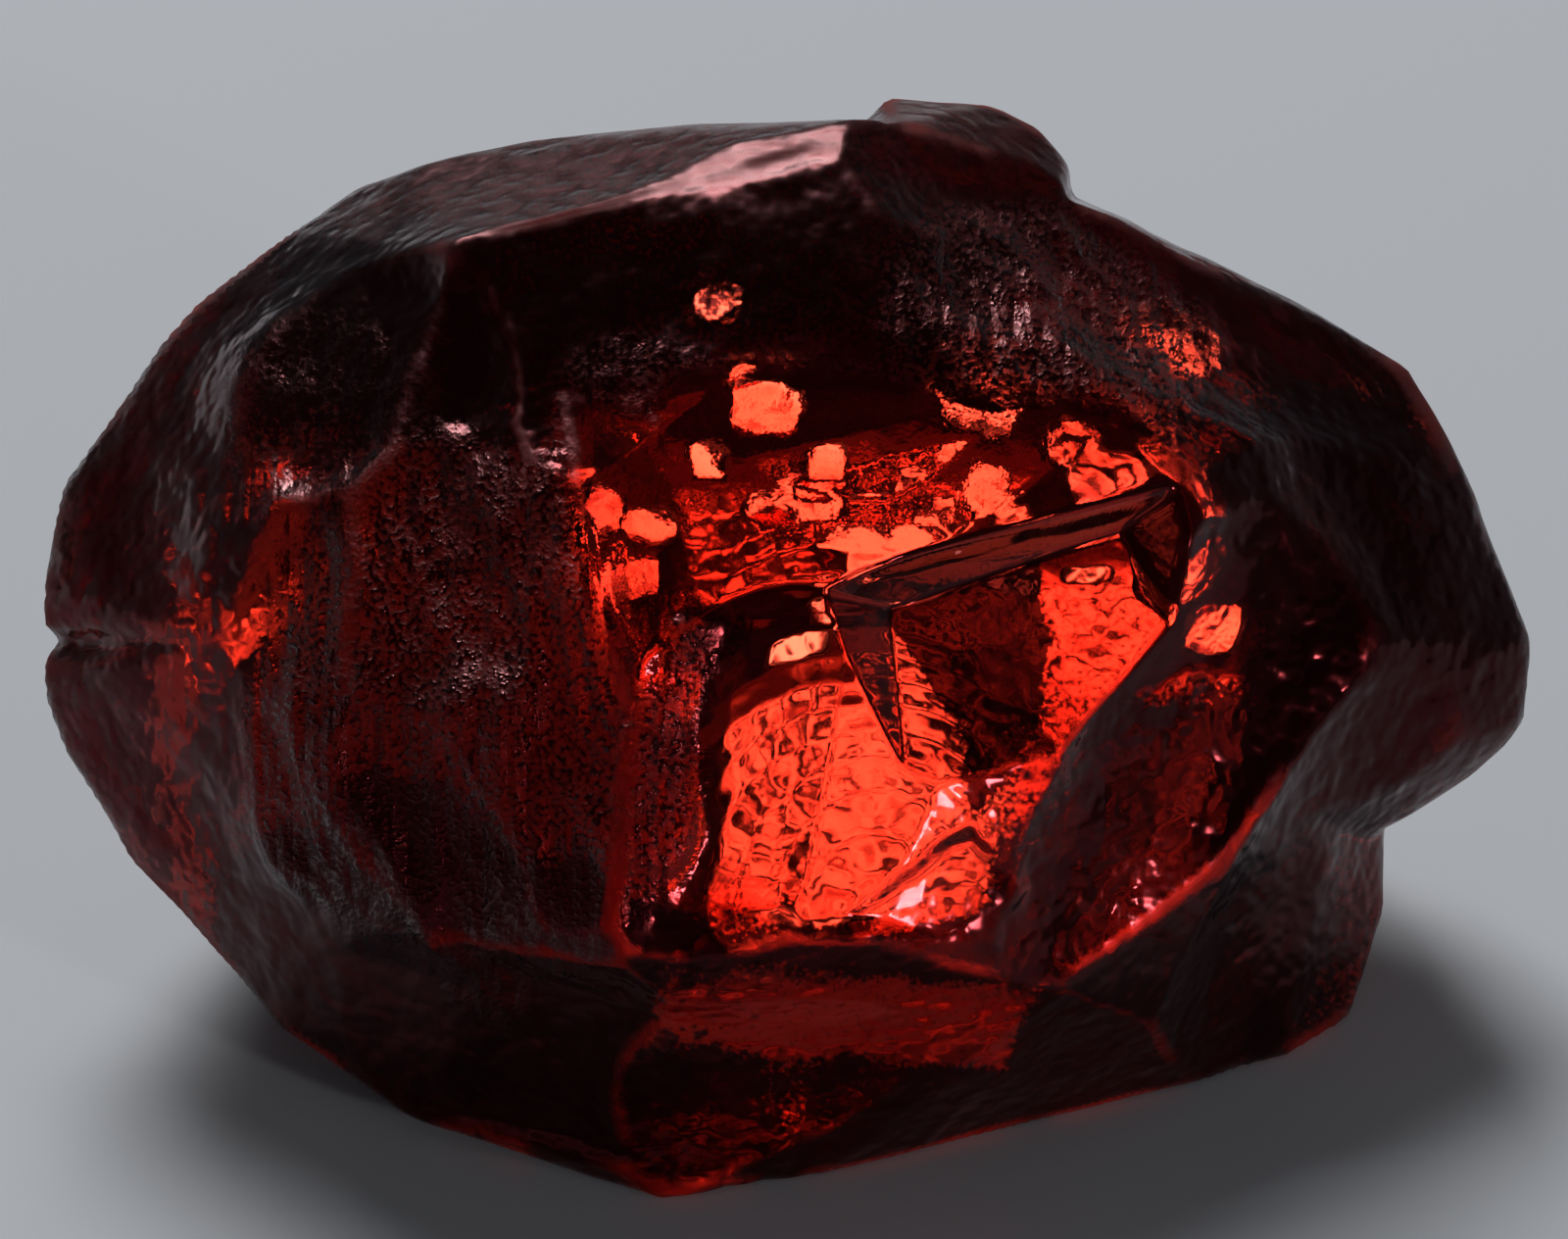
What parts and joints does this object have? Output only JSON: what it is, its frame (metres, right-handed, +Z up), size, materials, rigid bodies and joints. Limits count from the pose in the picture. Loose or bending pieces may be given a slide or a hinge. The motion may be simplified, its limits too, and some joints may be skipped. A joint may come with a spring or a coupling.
{
  "type": "rough painite crystal",
  "caption": "Rough piece of dark red painite with hackly, fluted and shell-shaped broken faces, lying on its flattest break; light glows through it deep red.",
  "frame": {"origin": "middle of the stone's bounding box, on the plane of the break that it rests on", "axes": "+X along the stone's length, +Y away from its main broken face, +Z up from the resting break"},
  "size_m": [0.012, 0.0086, 0.0071],
  "materials": {
    "crystal": "clear deep red crystal with rough, broken faces and a glassy lustre"
  },
  "bodies": {
    "root": {"painite_crystal": "crystal"}
  },
  "joints": []
}
